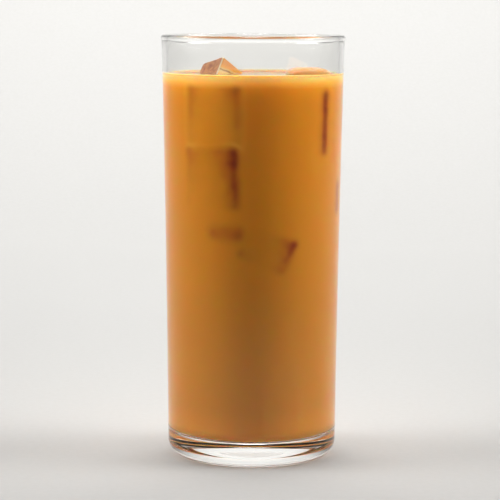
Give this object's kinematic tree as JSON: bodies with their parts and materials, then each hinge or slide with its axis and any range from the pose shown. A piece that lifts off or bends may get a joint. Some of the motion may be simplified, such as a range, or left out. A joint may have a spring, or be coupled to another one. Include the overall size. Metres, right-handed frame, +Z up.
{
  "type": "iced coffee",
  "caption": "Tall highball glass of iced milk coffee with ice showing at the surface; stands on its flat foot ring.",
  "frame": {"origin": "middle of the flat ring that the glass stands on", "axes": "+Z up along the axis of the glass; -Y towards the side that is seen from the front, with the tipped ice block at its left (-X) and the domed one at its right (+X)"},
  "size_m": [0.0654, 0.0654, 0.15],
  "materials": {
    "glass": "clear soda-lime glass, fire polished",
    "coffee": "opaque milk coffee with a wet surface",
    "ice": "wet, partly melted ice"
  },
  "bodies": {
    "root": {"glass": "glass", "coffee": "coffee", "ice_tipped": "ice", "ice_domed": "ice"}
  },
  "joints": []
}
